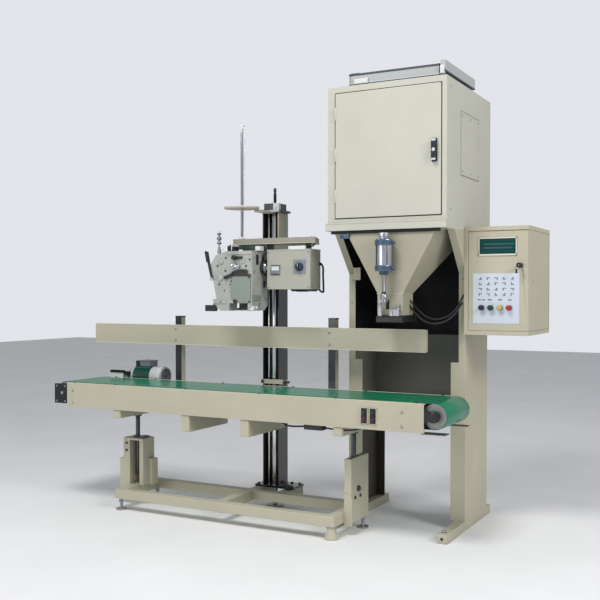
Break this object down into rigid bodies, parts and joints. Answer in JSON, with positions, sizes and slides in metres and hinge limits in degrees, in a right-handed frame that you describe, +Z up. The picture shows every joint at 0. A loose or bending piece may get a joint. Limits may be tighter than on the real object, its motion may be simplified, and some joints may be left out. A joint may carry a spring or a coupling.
{
  "type": "bag filling and sewing machine",
  "caption": "Open-mouth bag filler with weighing cabinet and bagging spout, belt conveyor and height-adjustable bag closer sewing head on a column.",
  "frame": {"origin": "on the floor, on the axis of the sewing column, at the centre of its jack foot", "axes": "+X along the conveyor from the tail roller to the filler, +Y from the operator to the back, +Z up"},
  "size_m": [2.55, 0.905, 2.235],
  "materials": {
    "beige_paint": "beige-grey powder coat, satin",
    "cabinet_paint": "light beige-grey powder coat, satin",
    "black_steel": "black, satin",
    "zinc_steel": "bright zinc",
    "polished_steel": "ground and polished",
    "stainless": "brushed",
    "green_belt": "green PVC, smooth and slightly glossy",
    "roller_steel": "turned steel",
    "motor_paint": "dark green enamel",
    "gearbox_paint": "black enamel",
    "cast_grey": "light grey enamel on casting",
    "cover_green_grey": "grey-green enamel",
    "black_rubber": "black rubber",
    "black_plastic": "black moulded plastic",
    "blue_plastic": "dark blue moulded cap",
    "green_plastic": "dark green moulded cap",
    "yellow_plastic": "yellow moulded cap",
    "red_plastic": "red moulded cap",
    "cylinder_aluminium": "anodised",
    "white_plastic": "light grey moulded"
  },
  "bodies": {
    "stand": {"base_frame": "beige_paint", "levelling_feet": "zinc_steel", "lift_sleeves": "beige_paint", "sewing_column": "black_steel", "guide_bars": "polished_steel", "thread_tray": "beige_paint", "filler_frame": "beige_paint", "cabinet_shell": "cabinet_paint", "inlet_frame": "zinc_steel", "hopper": "beige_paint", "air_cylinder": "cylinder_aluminium", "weigh_bucket": "stainless", "control_box": "cabinet_paint"},
    "deck": {"deck_frame": "beige_paint", "conveyor_belt": "green_belt", "roller_bearings": "black_steel", "lift_rods": "polished_steel", "guide_rail": "beige_paint", "guide_posts": "black_steel", "drive_motor": "motor_paint", "gearbox": "gearbox_paint", "drive_chain": "black_steel", "button_stations": "black_plastic"},
    "sewing_unit": {"carriage": "black_steel", "arm_plate": "beige_paint", "head_casting": "cast_grey", "head_cover": "cover_green_grey", "sewing_motor": "black_steel", "vee_belt": "black_rubber", "switch_box": "cabinet_paint", "thread_rod": "zinc_steel"},
    "lead_screw": {"lead_screw": "black_steel"},
    "cabinet_door": {"cabinet_door": "cabinet_paint"},
    "door_handle": {"door_handle": "black_plastic"},
    "clamp_jaw_front": {"clamp_jaw_front": "black_rubber"},
    "clamp_jaw_rear": {"clamp_jaw_rear": "black_rubber"},
    "cylinder_rod": {"cylinder_rod": "polished_steel"},
    "bucket_gate": {"bucket_gate": "stainless"},
    "control_door": {"control_door": "cabinet_paint"},
    "button_blue": {"button_blue": "blue_plastic"},
    "button_green": {"button_green": "green_plastic"},
    "button_yellow": {"button_yellow": "yellow_plastic"},
    "button_red": {"button_red": "red_plastic"},
    "panel_key": {"panel_key": "polished_steel"},
    "head_roller": {"head_roller": "roller_steel"},
    "tail_roller": {"tail_roller": "roller_steel"},
    "gearbox_sprocket": {"gearbox_sprocket": "zinc_steel"},
    "conveyor_start_button": {"conveyor_start_button": "green_plastic"},
    "conveyor_stop_button": {"conveyor_stop_button": "red_plastic"},
    "sewing_start_button": {"sewing_start_button": "green_plastic"},
    "sewing_stop_button": {"sewing_stop_button": "red_plastic"},
    "main_shaft": {"main_shaft": "zinc_steel"},
    "needle_bar": {"needle_bar": "polished_steel"},
    "looper": {"looper": "polished_steel"},
    "feed_dog": {"feed_dog": "zinc_steel"},
    "presser_foot": {"presser_foot": "polished_steel"},
    "presser_lever": {"presser_lever": "black_steel"},
    "motor_pulley": {"motor_pulley": "zinc_steel"},
    "rotary_switch": {"rotary_switch": "black_plastic"},
    "rocker_switch": {"rocker_switch": "white_plastic"}
  },
  "joints": [
    {"name": "deck_lift", "type": "slide", "parent": "stand", "child": "deck", "axis": [0, 0, 1], "range_m": [-0.04, 0.04]},
    {"name": "sewing_unit_lift", "type": "slide", "parent": "stand", "child": "sewing_unit", "axis": [0, 0, 1], "range_m": [-0.06, 0.11]},
    {"name": "lead_screw_turn", "type": "hinge", "parent": "stand", "child": "lead_screw", "pos_m": [-0.014, 0.022, 1.7], "axis": [0, 0, 1], "range_deg": [-3610, 6610]},
    {"name": "cabinet_door_swing", "type": "hinge", "parent": "stand", "child": "cabinet_door", "pos_m": [0.523, -0.327, 1.836], "axis": [0, 0, 1], "range_deg": [-110, 0]},
    {"name": "door_handle_turn", "type": "hinge", "parent": "cabinet_door", "child": "door_handle", "pos_m": [1.031, -0.333, 1.83], "axis": [0, 1, 0], "range_deg": [0, 90]},
    {"name": "control_door_swing", "type": "hinge", "parent": "stand", "child": "control_door", "pos_m": [1.109, -0.062, 1.228], "axis": [0, 0, 1], "range_deg": [-90, 0]},
    {"name": "button_blue_press", "type": "slide", "parent": "control_door", "child": "button_blue", "axis": [0, 1, 0], "range_m": [0, 0.004]},
    {"name": "button_green_press", "type": "slide", "parent": "control_door", "child": "button_green", "axis": [0, 1, 0], "range_m": [0, 0.004]},
    {"name": "button_yellow_press", "type": "slide", "parent": "control_door", "child": "button_yellow", "axis": [0, 1, 0], "range_m": [0, 0.004]},
    {"name": "button_red_press", "type": "slide", "parent": "control_door", "child": "button_red", "axis": [0, 1, 0], "range_m": [0, 0.004]},
    {"name": "panel_key_turn", "type": "hinge", "parent": "control_door", "child": "panel_key", "pos_m": [1.363, -0.062, 1.301], "axis": [0, 1, 0], "range_deg": [0, 90]},
    {"name": "clamp_stroke", "type": "slide", "parent": "stand", "child": "cylinder_rod", "axis": [0, 0, -1], "range_m": [0, 0.06]},
    {"name": "front_jaw_open", "type": "slide", "parent": "stand", "child": "clamp_jaw_front", "axis": [0, -1, 0], "range_m": [0, 0.03]},
    {"name": "rear_jaw_open", "type": "slide", "parent": "stand", "child": "clamp_jaw_rear", "axis": [0, 1, 0], "range_m": [0, 0.015]},
    {"name": "bucket_gate_drop", "type": "hinge", "parent": "stand", "child": "bucket_gate", "pos_m": [0.805, 0.08, 1.697], "axis": [1, 0, 0], "range_deg": [0, 60]},
    {"name": "head_roller_spin", "type": "hinge", "parent": "deck", "child": "head_roller", "pos_m": [1.085, -0.304, 0.616], "axis": [0, 1, 0], "continuous": true},
    {"name": "tail_roller_spin", "type": "hinge", "parent": "deck", "child": "tail_roller", "pos_m": [-1.085, -0.304, 0.616], "axis": [0, 1, 0], "continuous": true},
    {"name": "gearbox_output_spin", "type": "hinge", "parent": "deck", "child": "gearbox_sprocket", "pos_m": [-0.96, -0.105, 0.657], "axis": [0, 1, 0], "continuous": true},
    {"name": "conveyor_start_press", "type": "slide", "parent": "deck", "child": "conveyor_start_button", "axis": [0, 1, 0], "range_m": [0, 0.003]},
    {"name": "conveyor_stop_press", "type": "slide", "parent": "deck", "child": "conveyor_stop_button", "axis": [0, 1, 0], "range_m": [0, 0.003]},
    {"name": "sewing_start_press", "type": "slide", "parent": "deck", "child": "sewing_start_button", "axis": [0, 1, 0], "range_m": [0, 0.003]},
    {"name": "sewing_stop_press", "type": "slide", "parent": "deck", "child": "sewing_stop_button", "axis": [0, 1, 0], "range_m": [0, 0.003]},
    {"name": "main_shaft_spin", "type": "hinge", "parent": "sewing_unit", "child": "main_shaft", "pos_m": [0.03, -0.28, 1.3], "axis": [1, 0, 0], "continuous": true},
    {"name": "motor_pulley_spin", "type": "hinge", "parent": "sewing_unit", "child": "motor_pulley", "pos_m": [0.14, -0.12, 1.232], "axis": [1, 0, 0], "continuous": true},
    {"name": "needle_stroke", "type": "slide", "parent": "sewing_unit", "child": "needle_bar", "axis": [0, 1, 0], "range_m": [0, 0.036]},
    {"name": "looper_swing", "type": "hinge", "parent": "sewing_unit", "child": "looper", "pos_m": [-0.04, -0.262, 1.092], "axis": [0, 0, 1], "range_deg": [-6, 6]},
    {"name": "feed_stroke", "type": "slide", "parent": "sewing_unit", "child": "feed_dog", "axis": [1, 0, 0], "range_m": [-0.004, 0.004]},
    {"name": "presser_lift", "type": "slide", "parent": "sewing_unit", "child": "presser_foot", "axis": [0, -1, 0], "range_m": [0, 0.008]},
    {"name": "presser_lever_swing", "type": "hinge", "parent": "sewing_unit", "child": "presser_lever", "pos_m": [-0.152, -0.393, 1.242], "axis": [0, -1, 0], "range_deg": [-20, 0]},
    {"name": "rotary_switch_turn", "type": "hinge", "parent": "sewing_unit", "child": "rotary_switch", "pos_m": [0.311, -0.308, 1.302], "axis": [0, 1, 0], "range_deg": [0, 60]},
    {"name": "rocker_tilt", "type": "hinge", "parent": "sewing_unit", "child": "rocker_switch", "pos_m": [0.172, -0.299, 1.287], "axis": [1, 0, 0], "range_deg": [-6, 6]}
  ],
  "couplings": [
    {"joint": "lead_screw_turn", "follows": "sewing_unit_lift", "rad_per_m": 1047.2},
    {"joint": "front_jaw_open", "follows": "clamp_stroke", "ratio": 0.5},
    {"joint": "rear_jaw_open", "follows": "clamp_stroke", "ratio": 0.25},
    {"joint": "head_roller_spin", "follows": "tail_roller_spin", "ratio": 1},
    {"joint": "gearbox_output_spin", "follows": "tail_roller_spin", "ratio": 1},
    {"joint": "motor_pulley_spin", "follows": "main_shaft_spin", "ratio": 1.28},
    {"joint": "presser_lift", "follows": "presser_lever_swing", "m_per_rad": -0.022918}
  ]
}
